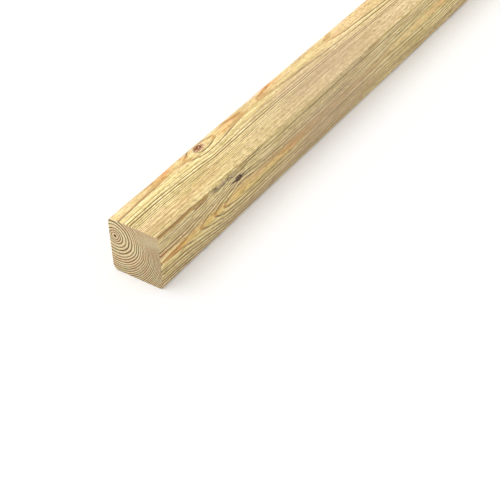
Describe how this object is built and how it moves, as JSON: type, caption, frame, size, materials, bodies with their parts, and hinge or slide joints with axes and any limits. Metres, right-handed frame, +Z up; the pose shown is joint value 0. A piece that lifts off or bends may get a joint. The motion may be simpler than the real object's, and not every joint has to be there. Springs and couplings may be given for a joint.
{
  "type": "timber stud",
  "caption": "Straight length of planed softwood of near-square section with eased long edges and square-cut ends, used as an upright in a framed partition wall.",
  "frame": {"origin": "on the bottom face, under the middle of the length and the middle of the breadth", "axes": "+Y along the length, +X across the breadth towards the right face, +Z up through the depth"},
  "size_m": [0.047, 2.4, 0.05],
  "materials": {
    "softwood": "planed, unfinished softwood with growth rings and knots"
  },
  "bodies": {
    "root": {"stud": "softwood"}
  },
  "joints": []
}
